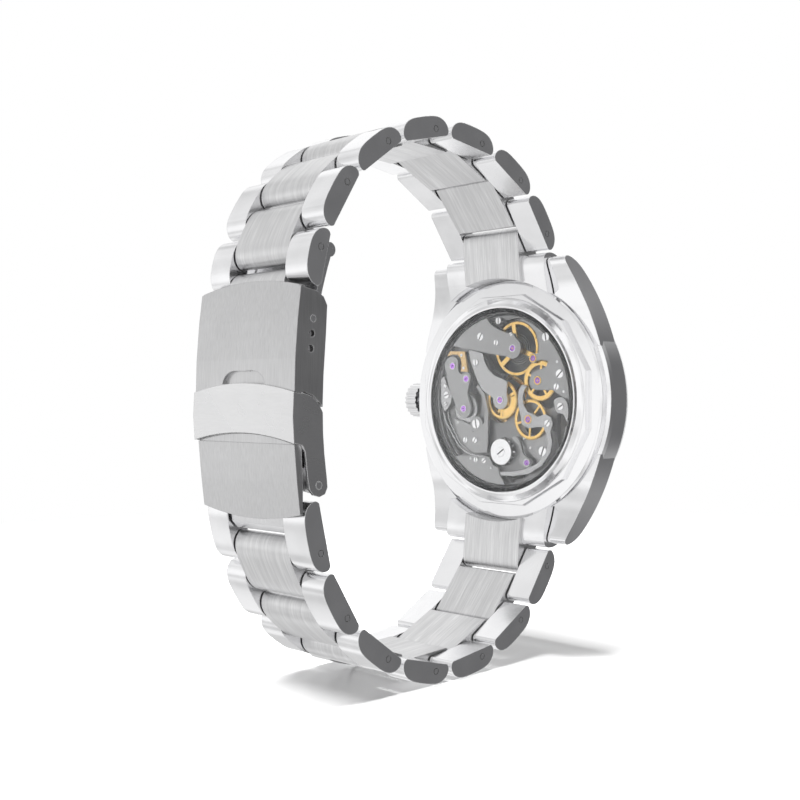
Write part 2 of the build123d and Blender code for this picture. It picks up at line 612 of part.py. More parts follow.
# ---- movement: what turns ----
def arbor(top, bottom, radius, at, pivot=0.34):
    """A wheel's arbor with a thin pivot at its wrist end."""
    disc(top, pivot, PIVOT_R, at)
    disc(top - pivot, top - pivot - bottom, radius, at)


PIVOT_TOP = BRIDGE_TOP + 0.03

with BuildPart() as balance:
    with BuildSketch(back(-1.75)):
        with Locations(BALANCE_AT):
            Circle(4.2)
            Circle(3.75, mode=Mode.SUBTRACT)
            Circle(0.8)
        for angle in (100, 220, 340):
            with Locations(Location(BALANCE_AT, angle)):
                with Locations((1.95, 0)):
                    Rectangle(3.9, 0.75)
    extrude(amount=-0.4)
    arbor(PIVOT_TOP, -3.3, 0.3, BALANCE_AT, pivot=0.6)
    disc(-2.9, 0.25, 0.8, BALANCE_AT)
save(balance, "balance_wheel")

with BuildPart() as hairspring:
    points = []
    for step in range(0, 100):
        angle = 2 * pi * step / 20
        r = 0.75 + 0.35 * step / 20
        points.append((BALANCE_AT[0] + r * cos(angle), BALANCE_AT[1] + r * sin(angle)))
    for step in range(99, -1, -1):
        angle = 2 * pi * step / 20
        r = 0.69 + 0.35 * step / 20
        points.append((BALANCE_AT[0] + r * cos(angle), BALANCE_AT[1] + r * sin(angle)))
    slab(-2.3, 0.25, points)
    ring(-2.25, 0.35, 0.76, 0.31, BALANCE_AT)
save(hairspring, "hairspring")

with BuildPart() as escape:
    gear(-3.0, 0.18, 15, 0.0, ESCAPE_AT, 1.0, module=0.19, arms=4, arm_width=0.25, hub=0.4)
    arbor(PIVOT_TOP, -4.6, 0.22, ESCAPE_AT, pivot=1.3)
save(escape, "escape_wheel")

with BuildPart() as pallet:
    disc(-2.95, 1.2, 0.25, PALLET_FORK_AT)
    bar(-3.0, 0.18, PALLET_FORK_AT, (3.5, 7.55), 0.3)
    bar(-3.0, 0.18, (4.35, 6.5), (4.85, 7.75), 0.35)
save(pallet, "pallet_fork")

with BuildPart() as driving:
    gear(WHEEL_TOP, WHEEL_T, 62, 0.0, DRIVE_AT, 2.35, arms=5, start=12)
    arbor(PIVOT_TOP, -1.8, 0.35, DRIVE_AT, pivot=0.42)
    disc(-1.8, 5.2, 0.17, DRIVE_AT)
save(driving, "driving_wheel")

with BuildPart() as coupling:
    gear(WHEEL_TOP, WHEEL_T, 62, COUPLING_PHASE, COUPLING_AT, 2.6, arms=5, arm_width=0.35, start=50)
    arbor(PIVOT_TOP, -2.7, 0.3, COUPLING_AT, pivot=0.42)
save(coupling, "coupling_wheel")

with BuildPart() as runner:
    gear(WHEEL_TOP, WHEEL_T, RUNNER_TEETH, 0.0, (0, 0), 2.5, arms=3, arm_width=0.5, start=25)
    with BuildSketch(back(WHEEL_TOP + 0.05)):
        with BuildLine():
            CenterArc((0, 0), 2.8, -85, 100)
            CenterArc((0, 0), 1.5, -85, 100)
            Line((2.8 * cos(radians(-85)), 2.8 * sin(radians(-85))),
                 (1.5 * cos(radians(-85)), 1.5 * sin(radians(-85))))
            Line((2.8 * cos(radians(15)), 2.8 * sin(radians(15))),
                 (1.5 * cos(radians(15)), 1.5 * sin(radians(15))))
        make_face()
    extrude(amount=-0.2)
    arbor(PIVOT_TOP, -1.8, 0.4, (0, 0), pivot=0.42)
    disc(-1.8, 6.0, 0.2)
save(runner, "chronograph_runner")

with BuildPart() as centre:
    gear(-3.0, 0.25, 78, 0.0, (0, 0), 3.2, arms=4, arm_width=0.6, start=40, hub=0.9)
    disc(-2.95, 1.7, 0.57)
    disc(-2.5, 3, 0.35, mode=Mode.SUBTRACT)
save(centre, "centre_wheel")

with BuildPart() as ratchet:
    gear(-1.35, 0.3, 44, 0.0, RATCHET_AT, 0.4, module=0.11)
    arbor(PIVOT_TOP - 0.05, -3.3, 0.45, RATCHET_AT, pivot=0.5)
save(ratchet, "ratchet_wheel")

with BuildPart() as barrel:
    gear(-3.4, 0.4, 80, 0.0, RATCHET_AT, 3.9, module=0.11)
    disc(-3.35, 2.2, 4.1, RATCHET_AT)
save(barrel, "mainspring_barrel")

with BuildPart() as column:
    disc(-0.9, 0.3, 2.05, COLUMN_AT)
    disc(-1.2, 0.9, 1.2, COLUMN_AT)
    for number in range(6):
        angle = radians(60 * number)
        disc(-1.2, 0.9, 0.35, (COLUMN_AT[0] + 1.5 * cos(angle), COLUMN_AT[1] + 1.5 * sin(angle)))
    gear(-1.85, 0.3, 12, 0.0, COLUMN_AT, 0.5, module=0.31)
    screw(-0.9, COLUMN_AT, 0.75, 35, head_t=0.08, shank=0.1)
save(column, "column_wheel")

with BuildPart() as crown:
    with BuildSketch(Plane(origin=(CROWN_X, CROWN_Y, 0), x_dir=(0, 1, 0), z_dir=(1, 0, 0))):
        Circle(CROWN_R)
        with PolarLocations(CROWN_R + 0.1, 22):
            Circle(0.3, mode=Mode.SUBTRACT)
    extrude(amount=2.3)
    rod(CROWN_X + 2.3, CROWN_X + 2.42, (CROWN_Y, 0), 2.3)
    rod(CROWN_X - 0.1, CROWN_X + 1.2, (CROWN_Y, 0), 1.5, mode=Mode.SUBTRACT)
    rod(CROWN_X - 0.1, CROWN_X + 1.6, (CROWN_Y, 0), 0.6, mode=Mode.SUBTRACT)
    rod(CROWN_X + 0.05, CROWN_X + 0.55, (CROWN_Y, 0), 1.49)
    rod(CROWN_X, CROWN_X + 1.15, (CROWN_Y, 0), 1.3, mode=Mode.SUBTRACT)
save(crown, "crown")

with BuildPart() as stem:
    rod(12.5, CROWN_X + 1.6, (CROWN_Y, 0), 0.55)
save(stem, "winding_stem")


# ---- bracelet ----
def link_plane(x, at, angle, flip):
    """The plane along one link: x to the clasp, y off the wrist; flip is 1 above, -1 below."""
    c = cos(radians(angle))
    t = sin(radians(angle))
    return Plane(origin=(x, at[0], flip * at[1]), x_dir=(0, c, flip * t), z_dir=(flip, 0, 0))


def link_piece(plane, width, start, end, mode=Mode.ADD):
    """A bracelet piece in cross-section: a flat wrist face and a domed back with full round ends."""
    with BuildSketch(plane) as flat:
        with BuildLine():
            Line((start + 0.45, -PIN_HEIGHT), (end - 0.45, -PIN_HEIGHT))
            Spline((end - 0.45, -PIN_HEIGHT), (end, -0.6), (end - 0.2, 0.5), (end - 1.2, 1.38),
                   (end - 3.2, LINK_T - PIN_HEIGHT), (start + 3.2, LINK_T - PIN_HEIGHT),
                   (start + 1.2, 1.38), (start + 0.2, 0.5), (start, -0.6), (start + 0.45, -PIN_HEIGHT))
        make_face()
    extrude(flat.sketch, amount=width, mode=mode)


def rods(plane_at, width, radius, mode=Mode.ADD):
    with BuildSketch(plane_at) as flat:
        Circle(radius)
    extrude(flat.sketch, amount=width, mode=mode)


chords = [FIRST_CHORD]
for turn in TURNS:
    chords.append(chords[-1] - turn)
hinges = [HINGE_1]
for chord in chords:
    last = hinges[-1]
    hinges.append((last[0] + PITCH * cos(radians(chord)), last[1] + PITCH * sin(radians(chord))))
last = hinges[-1]
chords.append(degrees(atan2(CLASP_BAR[1] - last[1], CLASP_BAR[0] - last[0])))
CLASP_REACH = ((CLASP_BAR[0] - last[0]) ** 2 + (CLASP_BAR[1] - last[1]) ** 2) ** 0.5
SEVENTH_SIDE = 76.6
for number, hinge in enumerate(hinges):
    print("hinge", number + 1, [round(value, 3) for value in hinge], "chord", round(chords[number], 2))

for flip, half in ((1, "upper"), (-1, "lower")):
    for number in range(LINKS):
        at = hinges[number]
        chord = chords[number]
        final = number == LINKS - 1
        tilt = chord + SIDE_TILT if not final else -SEVENTH_SIDE
        nose = PITCH + CENTRE_NOSE if not final else CLASP_REACH + 1.1
        front = SIDE_FRONT if not final or flip == -1 else 4.75
        with BuildPart() as link:
            if not final or flip == 1:
                link_piece(link_plane(-flip * CENTRE_HALF, at, chord, flip), 2 * CENTRE_HALF,
                           CENTRE_BACK - 0.25, nose)
            for x in (-SIDE_OUT, SIDE_IN):
                start = x if flip == 1 else x + SIDE_OUT - SIDE_IN
                link_piece(link_plane(start, at, tilt, flip), SIDE_OUT - SIDE_IN, -SIDE_BACK, front)
            far = hinges[number + 1] if not final else CLASP_BAR
            rods(link_plane(-flip * SIDE_OUT, at, tilt, flip), 2 * SIDE_OUT, PIN_R + 0.005, Mode.SUBTRACT)
            if not final or flip == 1:
                rods(link_plane(-flip * SIDE_OUT, far, tilt, flip), 2 * SIDE_OUT, PIN_BORE, Mode.SUBTRACT)
            rods(link_plane(-flip * SIDE_OUT, at, tilt, flip), 2 * SIDE_OUT, PIN_R)
            inner = link_plane(-flip * 8.2, at, tilt, flip)
            if not final or flip == 1:
                rods(inner * Location((4.2, 0.15, 0)), 16.4, PIN_R + 0.005, Mode.SUBTRACT)
                rods(inner * Location((4.2, 0.15, 0.02)), 16.36, PIN_R)
            else:
                rod(-6.6, 6.6, (FOLD_3[0], FOLD_3[1]), PIN_BORE, mode=Mode.SUBTRACT)
            if final and flip == 1:
                across(-6, 6, ((46.95, 15.0), (47.1, 8.0), (50, 8.0), (50, 15.0)), mode=Mode.SUBTRACT)
        save(link, f"{half}_link_{number + 1}")

with BuildPart() as end_link:
    with BuildSketch(side(-CENTRE_HALF)):
        with BuildLine():
            Spline((1.0, 17.4), (1.45, 21.5), (1.6, 23.9), (1.5, 25.6), (0.55, 26.35), (-0.75, 25.9),
                   (-1.6, 24.7), (-2.6, 23.0), (-3.7, 20.9))
            Line((-3.7, 20.9), (-3.7, 17.4))
            Line((-3.7, 17.4), (1.0, 17.4))
        make_face()
    extrude(amount=2 * CENTRE_HALF)
    with BuildSketch(side(-SIDE_OUT)):
        with BuildLine():
            Spline((0.55, 18.4), (0.85, 20.4), (0.55, 21.75), (-0.7, 22.15), (-2.4, 21.8), (-3.6, 20.9),
                   (-4.2, 19.6))
            Line((-4.2, 19.6), (-4.2, 15.5))
            Line((-4.2, 15.5), (-0.2, 15.5))
            Line((-0.2, 15.5), (0.55, 18.4))
        make_face()
    extrude(amount=2 * SIDE_OUT)
    with BuildSketch(back(4)):
        Circle(BACK_RING_R + 0.25)
    extrude(amount=-10, mode=Mode.SUBTRACT)
    with BuildSketch(back(CASE_BACK_Y + 0.05)):
        Circle(CASE_R + 0.06)
    extrude(amount=-4, mode=Mode.SUBTRACT)
    rod(-SIDE_OUT, SIDE_OUT, (SPRING_BAR_Y, SPRING_BAR_Z), SPRING_BAR_R, mode=Mode.SUBTRACT)
    rod(-SIDE_OUT, SIDE_OUT, HINGE_1, PIN_BORE, mode=Mode.SUBTRACT)
    mirror(about=Plane.XY)
save(end_link, "end_links")

with BuildPart() as lug_bars:
    for z in (-SPRING_BAR_Z, SPRING_BAR_Z):
        rod(-9.0, 9.0, (SPRING_BAR_Y, z), SPRING_BAR_R - 0.01)
        rod(-10.9, 10.9, (SPRING_BAR_Y, z), 0.42)
        for x in (-9.75, 9.55):
            rod(x, x + 0.2, (SPRING_BAR_Y, z), SPRING_BAR_R - 0.01)
save(lug_bars, "lug_spring_bars")


# ---- clasp ----
COVER_OUT = (
    (47.85, -14.75), (48.0, -13.6), (48.45, -10.0), (48.9, -5.3), (48.55, -5.25), (48.65, -2.0),
    (48.6, 0.95), (49.1, 1.0), (49.0, 5.0), (48.6, 9.8), (48.1, 13.65), (47.95, 14.8),
)
COVER_IN = (
    (47.2, 14.8), (47.25, 13.65), (47.75, 9.0), (47.95, 3.0), (47.85, -3.0), (47.65, -8.0),
    (47.55, -13.6), (47.5, -14.75),
)


def arched(high, low, low_bow):
    """Trim a clasp plate's ends to arcs, from high and low at its corners; its top edge bows up."""
    half = CLASP_HALF + 0.2
    with BuildSketch(Plane(origin=(0, 50.5, 0), x_dir=(1, 0, 0), z_dir=(0, 1, 0))) as flat:
        for edge, bow, beyond in ((-high, -ARCH, -3), (-low, low_bow, 3)):
            with BuildLine():
                ThreePointArc((-half, edge), (0, edge + bow), (half, edge))
                Polyline((half, edge), (half, edge + beyond), (-half, edge + beyond), (-half, edge))
            make_face()
    extrude(flat.sketch, amount=-5, mode=Mode.SUBTRACT)


with BuildPart() as cover:
    across(-9.75, 9.75, (*COVER_OUT, *COVER_IN))
    arched(13.65, -13.6, ARCH)
    with BuildSketch(Plane(origin=(0, 48.4, 0), x_dir=(1, 0, 0), z_dir=(0, 1, 0))):
        with BuildLine():
            ThreePointArc((-9.7, 5.3), (0, 5.3 - ARCH), (9.7, 5.3))
            Line((9.7, 5.3), (-9.7, 5.3))
        make_face()
    extrude(amount=0.43)
    for sx in (-1, 1):
        across(sx * 9.45, sx * CLASP_HALF,
               ((48.1, 13.65), (45.6, 13.15), (44.5, 12.5), (43.95, 11.5), (44.15, 8.0), (44.55, 3.0),
                (44.7, -0.85), (45.25, -0.2), (46.3, 0.6), (47.6, 0.98), (49.1, 1.02), (49.0, 5.0),
                (48.6, 9.8)))
        across(sx * 9.2, sx * 9.75,
               ((48.85, -5.4), (47.85, -5.6), (47.55, -9.0), (47.55, -13.4), (48.0, -13.6), (48.45, -10.0)))
        across(sx * 8.2, sx * 9.1,
               ((47.9, -7.6), (46.2, -8.6), (45.0, -9.35), (44.45, -10.3), (44.8, -11.1), (45.5, -11.3),
                (46.3, -10.8), (47.6, -11.0)))
        rod(sx * 8.1, sx * 9.2, FOLD_1, PIN_R + 0.005, mode=Mode.SUBTRACT)
        for number, z in enumerate(CLASP_HOLES):
            rod(sx * 9.0, sx * 10.2, (CLASP_BAR[0] + CLASP_HOLE_STEP_Y * number, z), PIN_R,
                mode=Mode.SUBTRACT)
    with BuildSketch(Plane(origin=(0, 50.0, 2.0), x_dir=(1, 0, 0), z_dir=(0, 1, 0))):
        with BuildLine():
            Spline((-4.3, 0), (-3.7, -1.0), (-2.9, -1.45), (0, -1.6), (2.9, -1.45), (3.7, -1.0), (4.3, 0))
            Line((4.3, 0), (-4.3, 0))
        make_face()
    extrude(amount=-1.45, mode=Mode.SUBTRACT)
save(cover, "clasp_cover")

with BuildPart() as catch:
    across(-10.15, 10.15, ((48.75, 0.9), (49.3, 0.95), (49.45, -2.0), (49.25, -5.15), (48.95, -5.2),
                           (48.75, -5.1)))
    across(-10.15, 10.15, ((49.15, 0.8), (49.15, 2.15), (49.35, 2.1), (49.3, 0.8)))
    arched(0.95, -5.2, -ARCH)
    for sx in (-1, 1):
        across(sx * 9.8, sx * 10.15,
               ((49.3, 0.92), (47.7, 0.8), (46.4, 0.4), (45.4, -0.4), (44.75, -1.5), (44.7, -4.0),
                (44.5, -6.5), (44.1, -9.5), (44.0, -10.6), (44.4, -11.4), (45.3, -11.7), (46.2, -11.45),
                (46.8, -10.8), (47.1, -9.5), (47.5, -6.2), (47.9, -5.4), (48.75, -5.2), (49.25, -5.15)))
        rod(sx * 9.7, sx * 10.2, FOLD_1, PIN_BORE, mode=Mode.SUBTRACT)
save(catch, "safety_catch")

with BuildPart() as clasp_pins:
    for sx in (-1, 1):
        rod(sx * 5.8, sx * 10.14, FOLD_1, PIN_R)
    rod(-CLASP_HALF, CLASP_HALF, CLASP_BAR, PIN_R - 0.005)
save(clasp_pins, "clasp_pins")

BLADE_PATH = (FOLD_2, (43.2, 14.2), (44.25, 10.0), (44.9, 6.0), (45.2, 1.0), (45.35, -5.0), FOLD_1)
with BuildPart() as outer_blade:
    for x in (-BLADE_HALF, 5.7):
        with BuildSketch(side(x)):
            with BuildLine() as path:
                Spline(*BLADE_PATH)
            trace(path.line, line_width=0.85)
            with Locations(FOLD_1, FOLD_2):
                Circle(0.92)
        extrude(amount=BLADE_HALF - 5.7)
    across(-BLADE_HALF, BLADE_HALF, ((45.65, 4.0), (45.7, 0.5), (46.4, 0.6), (46.3, 3.9)))
    for x in (-BLADE_HALF, 5.7):
        across(x, x + BLADE_HALF - 5.7, ((45.0, 4.0), (45.2, 0.5), (45.8, 0.5), (45.8, 4.0)))
    rod(-BLADE_HALF, BLADE_HALF, FOLD_1, PIN_BORE, mode=Mode.SUBTRACT)
    rod(-BLADE_HALF, BLADE_HALF, FOLD_2, PIN_R + 0.005, mode=Mode.SUBTRACT)
    rod(-BLADE_HALF, BLADE_HALF, FOLD_2, PIN_R)
save(outer_blade, "clasp_outer_blade")

with BuildPart() as inner_blade:
    with BuildSketch(side(-5.3)):
        with BuildLine() as path:
            Spline(*BLADE_PATH, FOLD_3)
        trace(path.line, line_width=0.75)
        with Locations(FOLD_2):
            Circle(0.92)
        with Locations(FOLD_3):
            Circle(0.95)
        with BuildLine():
            Polyline((44.9, -12.9), (46.6, -12.5), (47.0, -14.0), (46.75, -15.6), (45.9, -16.5),
                     (44.9, -16.45), (44.35, -15.6), (44.4, -13.6), close=True)
        make_face()
    extrude(amount=10.6)
    rod(-5.3, 5.3, FOLD_2, PIN_BORE, mode=Mode.SUBTRACT)
    rod(-5.3, 5.3, FOLD_3, PIN_BORE, mode=Mode.SUBTRACT)
    rod(-5.3, 5.3, FOLD_3, PIN_BORE - 0.01)
save(inner_blade, "clasp_inner_blade")
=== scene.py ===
import json
import math

import bmesh
import bpy
from mathutils import Matrix, Vector


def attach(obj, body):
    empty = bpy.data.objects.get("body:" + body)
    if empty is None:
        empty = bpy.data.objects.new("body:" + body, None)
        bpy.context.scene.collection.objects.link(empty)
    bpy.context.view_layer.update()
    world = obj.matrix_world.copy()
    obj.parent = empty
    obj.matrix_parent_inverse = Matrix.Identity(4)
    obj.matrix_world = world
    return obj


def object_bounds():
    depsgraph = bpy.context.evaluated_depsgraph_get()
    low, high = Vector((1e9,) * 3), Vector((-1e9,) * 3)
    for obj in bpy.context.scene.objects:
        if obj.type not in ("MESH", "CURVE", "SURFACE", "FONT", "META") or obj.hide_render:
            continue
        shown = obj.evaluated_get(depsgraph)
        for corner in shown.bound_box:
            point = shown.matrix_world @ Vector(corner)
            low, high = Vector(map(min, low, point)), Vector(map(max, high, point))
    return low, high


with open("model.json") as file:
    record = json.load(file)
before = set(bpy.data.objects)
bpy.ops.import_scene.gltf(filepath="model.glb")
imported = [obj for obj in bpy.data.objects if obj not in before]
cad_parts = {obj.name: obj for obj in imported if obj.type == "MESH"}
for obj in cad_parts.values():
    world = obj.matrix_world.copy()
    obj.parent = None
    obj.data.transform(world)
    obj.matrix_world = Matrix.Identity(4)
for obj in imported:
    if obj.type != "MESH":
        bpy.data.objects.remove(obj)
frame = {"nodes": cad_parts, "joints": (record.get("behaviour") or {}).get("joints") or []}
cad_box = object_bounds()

MM = 0.001
NODES = frame["nodes"]


# ---- camera, light and floor ----
CAMERA_AT = Vector((-0.111506, 0.133191, 0.0))
CAMERA_TOWARD = Vector((0.706, -0.708, 0.0))
FLOOR_Z = cad_box[0][2] - 0.00002

camera_data = bpy.data.cameras.new("camera")
camera_data.lens = 50
camera_data.sensor_width = 36
camera_data.clip_start = 0.005
camera = bpy.data.objects.new("camera", camera_data)
camera.location = CAMERA_AT
camera.rotation_euler = CAMERA_TOWARD.to_track_quat("-Z", "Y").to_euler()
bpy.context.scene.collection.objects.link(camera)
bpy.context.scene.camera = camera
bpy.context.scene.view_settings.view_transform = "Standard"


def softbox(name, at, target, size, watts):
    data = bpy.data.lights.new(name, "AREA")
    data.shape = "RECTANGLE"
    data.size, data.size_y = size
    data.energy = watts
    lamp = bpy.data.objects.new(name, data)
    lamp.location = at
    lamp.visible_glossy = False
    lamp.rotation_euler = (Vector(target) - Vector(at)).to_track_quat("-Z", "Y").to_euler()
    bpy.context.scene.collection.objects.link(lamp)


WATCH_MIDDLE = (0.0, 0.02, 0.0)
softbox("key_light", (0.10, 0.20, 0.46), WATCH_MIDDLE, (0.24, 0.24), 4.6)
softbox("top_light", (-0.02, 0.02, 0.5), WATCH_MIDDLE, (0.12, 0.12), 3.6)


FLAG_TOWARD = (-0.72, -0.69, 0.0)
FLAG_EDGE = (0.55, 0.92)       # where the flag begins and is full, as the cosine of the angle to its middle
FLAG_SHADE = (0.16, 0.16, 0.163, 1)
PANEL_SHADE = (0.66, 1.08)     # darkest and lightest part of the white panels
FLOOR_FILL = 0.22              # what the studio gives to diffuse surfaces, so that the floor keeps its shadow


def studio_world():
    """A white studio, cloudy enough to shade polished steel, with a grey flag that the flanks mirror."""
    world = bpy.data.worlds.new("studio")
    world.use_nodes = True
    nodes, links = world.node_tree.nodes, world.node_tree.links
    nodes.clear()
    coords = nodes.new("ShaderNodeTexCoord")
    dot = nodes.new("ShaderNodeVectorMath")
    dot.operation = "DOT_PRODUCT"
    dot.inputs[1].default_value = Vector(FLAG_TOWARD).normalized()
    links.new(coords.outputs["Generated"], dot.inputs[0])
    flag = nodes.new("ShaderNodeMapRange")
    flag.interpolation_type = "SMOOTHSTEP"
    flag.inputs["From Min"].default_value, flag.inputs["From Max"].default_value = FLAG_EDGE
    links.new(dot.outputs["Value"], flag.inputs["Value"])
    drift = nodes.new("ShaderNodeTexNoise")
    drift.inputs["Scale"].default_value = 2.6
    drift.inputs["Detail"].default_value = 1.5
    links.new(coords.outputs["Generated"], drift.inputs["Vector"])
    panels = nodes.new("ShaderNodeMapRange")
    panels.inputs["From Min"].default_value = 0.36
    panels.inputs["From Max"].default_value = 0.56
    panels.inputs["To Min"].default_value, panels.inputs["To Max"].default_value = PANEL_SHADE
    links.new(drift.outputs["Fac"], panels.inputs["Value"])
    shade = nodes.new("ShaderNodeMix")
    shade.data_type = "RGBA"
    links.new(panels.outputs["Result"], shade.inputs["A"])
    shade.inputs["B"].default_value = FLAG_SHADE
    links.new(flag.outputs["Result"], shade.inputs["Factor"])
    path = nodes.new("ShaderNodeLightPath")
    strength = nodes.new("ShaderNodeMapRange")
    strength.inputs["To Min"].default_value = 1.0
    strength.inputs["To Max"].default_value = FLOOR_FILL
    links.new(path.outputs["Is Diffuse Ray"], strength.inputs["Value"])
    studio = nodes.new("ShaderNodeBackground")
    links.new(shade.outputs["Result"], studio.inputs["Color"])
    links.new(strength.outputs["Result"], studio.inputs["Strength"])
    backdrop = nodes.new("ShaderNodeBackground")
    backdrop.inputs["Color"].default_value = (1, 1, 1, 1)
    backdrop.inputs["Strength"].default_value = 1.0
    mix = nodes.new("ShaderNodeMixShader")
    links.new(path.outputs["Is Camera Ray"], mix.inputs["Fac"])
    links.new(studio.outputs["Background"], mix.inputs[1])
    links.new(backdrop.outputs["Background"], mix.inputs[2])
    output = nodes.new("ShaderNodeOutputWorld")
    links.new(mix.outputs["Shader"], output.inputs["Surface"])
    bpy.context.scene.world = world


studio_world()


# ---- materials ----
EDGE_MM = 0.14


class Recipe:
    """A principled material with the nodes that its grain, wear and bump need."""

    def __init__(self, name, color, metallic, roughness):
        self.material = bpy.data.materials.new(name)
        self.material.use_nodes = True
        self.nodes = self.material.node_tree.nodes
        self.links = self.material.node_tree.links
        self.shader = self.nodes["Principled BSDF"]
        self.shader.inputs["Metallic"].default_value = metallic
        self.shader.inputs["Roughness"].default_value = roughness
        self.shader.inputs["Base Color"].default_value = (*color, 1)
        self.coords = self.nodes.new("ShaderNodeTexCoord").outputs["Object"]

    def node(self, kind, **settings):
        made = self.nodes.new(kind)
        for key, value in settings.items():
            setattr(made, key, value)
        return made

    def noise(self, scale, stretch=(1, 1, 1), detail=3.0, roughness=0.6):
        mapping = self.node("ShaderNodeMapping")
        mapping.inputs["Scale"].default_value = stretch
        self.links.new(self.coords, mapping.inputs["Vector"])
        texture = self.node("ShaderNodeTexNoise")
        texture.inputs["Scale"].default_value = scale
        texture.inputs["Detail"].default_value = detail
        texture.inputs["Roughness"].default_value = roughness
        self.links.new(mapping.outputs["Vector"], texture.inputs["Vector"])
        return texture.outputs["Fac"]

    def ramp(self, value, low, high, to_low, to_high):
        span = self.node("ShaderNodeMapRange")
        span.inputs["From Min"].default_value = low
        span.inputs["From Max"].default_value = high
        span.inputs["To Min"].default_value = to_low
        span.inputs["To Max"].default_value = to_high
        self.links.new(value, span.inputs["Value"])
        return span.outputs["Result"]

    def mix_color(self, factor, first, second):
        mix = self.node("ShaderNodeMix", data_type="RGBA")
        self.links.new(factor, mix.inputs["Factor"])
        for socket, color in (("A", first), ("B", second)):
            if isinstance(color, tuple):
                mix.inputs[socket].default_value = (*color, 1)
            else:
                self.links.new(color, mix.inputs[socket])
        return mix.outputs["Result"]

    def mix_value(self, factor, first, second):
        mix = self.node("ShaderNodeMix", data_type="FLOAT")
        self.links.new(factor, mix.inputs["Factor"])
        for socket, value in (("A", first), ("B", second)):
            if isinstance(value, (int, float)):
                mix.inputs[socket].default_value = value
            else:
                self.links.new(value, mix.inputs[socket])
        return mix.outputs["Result"]

    def bump(self, height, distance_mm, strength=1.0):
        """Relief over edges that are rounded by EDGE_MM."""
        edge = self.node("ShaderNodeBevel", samples=4)
        edge.inputs["Radius"].default_value = EDGE_MM * MM
        bump = self.node("ShaderNodeBump")
        self.links.new(edge.outputs["Normal"], bump.inputs["Normal"])
        bump.inputs["Distance"].default_value = distance_mm * MM
        bump.inputs["Strength"].default_value = strength
        self.links.new(height, bump.inputs["Height"])
        self.links.new(bump.outputs["Normal"], self.shader.inputs["Normal"])

    def color(self, value):
        self.links.new(value, self.shader.inputs["Base Color"])

    def rough(self, value):
        self.links.new(value, self.shader.inputs["Roughness"])


GRAIN_ALONG = (9000.0, 260.0, 260.0)     # lines that run round the bracelet
GRAIN_HEIGHT = (9000.0, 9000.0, 260.0)   # lines that run up and down
SIDE_EDGE = 5.6                          # half width of a centre piece, where the side pieces begin


def brushed(name, color, roughness, stretch, depth=0.0015, contrast=0.1):
    """Steel with fine lines along one direction and slow cloudiness."""
    made = Recipe(name, color, 1.0, roughness)
    grain = made.noise(1.0, stretch, detail=4.0)
    cloud = made.noise(180.0, detail=2.0)
    dark = tuple(c * (1 - contrast) for c in color)
    made.color(made.mix_color(made.ramp(grain, 0.3, 0.7, 0, 1), dark, color))
    made.rough(made.ramp(cloud, 0.3, 0.7, roughness * 0.85, roughness * 1.15))
    made.bump(grain, depth)
    return made.material


def polished(name, color, roughness=0.06):
    """Polished steel with hairline wear."""
    made = Recipe(name, color, 1.0, roughness)
    haze = made.noise(420.0, detail=5.0)
    hair = made.noise(1.0, (14000, 900, 2600), detail=2.0)
    made.rough(made.ramp(haze, 0.35, 0.7, roughness * 0.7, roughness * 1.8))
    made.color(made.mix_color(made.ramp(haze, 0.3, 0.7, 0, 1), tuple(c * 0.97 for c in color), color))
    made.bump(hair, 0.0002)
    return made.material


def link_metal():
    """Links: centre pieces brushed along the bracelet, side pieces with a finer, brighter grain."""
    made = Recipe("link_steel", (0.86, 0.86, 0.87), 1.0, 0.25)
    split = made.node("ShaderNodeSeparateXYZ")
    made.links.new(made.coords, split.inputs["Vector"])
    width = made.node("ShaderNodeMath", operation="ABSOLUTE")
    made.links.new(split.outputs["X"], width.inputs[0])
    outer = made.ramp(width.outputs["Value"], (SIDE_EDGE - 0.02) * MM, (SIDE_EDGE + 0.02) * MM, 0, 1)
    grain = made.noise(1.0, GRAIN_ALONG, detail=4.0)
    cloud = made.noise(200.0, detail=2.0)
    streak = made.noise(1.0, (1500.0, 45.0, 45.0), detail=3.0)
    sides = made.mix_color(made.ramp(cloud, 0.3, 0.7, 0, 1), (0.86, 0.86, 0.87), (0.94, 0.94, 0.95))
    bright = made.mix_color(made.ramp(streak, 0.35, 0.65, 0, 1), (0.68, 0.68, 0.685), (0.88, 0.88, 0.885))
    centre = made.mix_color(made.ramp(grain, 0.32, 0.68, 0, 1), (0.62, 0.62, 0.625), bright)
    made.color(made.mix_color(outer, centre, sides))
    centre_rough = made.ramp(cloud, 0.3, 0.7, 0.30, 0.38)
    side_rough = made.ramp(cloud, 0.3, 0.7, 0.17, 0.23)
    made.rough(made.mix_value(outer, centre_rough, side_rough))
    made.bump(made.mix_value(outer, grain, made.ramp(grain, 0, 1, 0.42, 0.58)), 0.003)
    return made.material


def plated(name, color, roughness, grain_mm=0.0025, scale=6500.0, contrast=0.12):
    """A frosted or grained movement plate."""
    made = Recipe(name, color, 1.0, roughness)
    frost = made.noise(scale, detail=3.0)
    drift = made.noise(260.0, detail=3.0)
    dark = tuple(c * (1 - contrast) for c in color)
    made.color(made.mix_color(made.ramp(drift, 0.3, 0.7, 0, 1), dark, color))
    made.rough(made.ramp(frost, 0.3, 0.7, roughness * 0.85, roughness * 1.2))
    made.bump(frost, grain_mm)
    return made.material


def crystal(name):
    """Sapphire: thin, clear and faintly smudged."""
    made = Recipe(name, (0.97, 0.985, 0.99), 0.0, 0.02)
    made.shader.inputs["IOR"].default_value = 1.45
    made.shader.inputs["Alpha"].default_value = 0.045
    smudge = made.noise(160.0, detail=4.0)
    made.rough(made.ramp(smudge, 0.4, 0.75, 0.01, 0.05))
    made.material.blend_method = "BLEND"
    return made.material


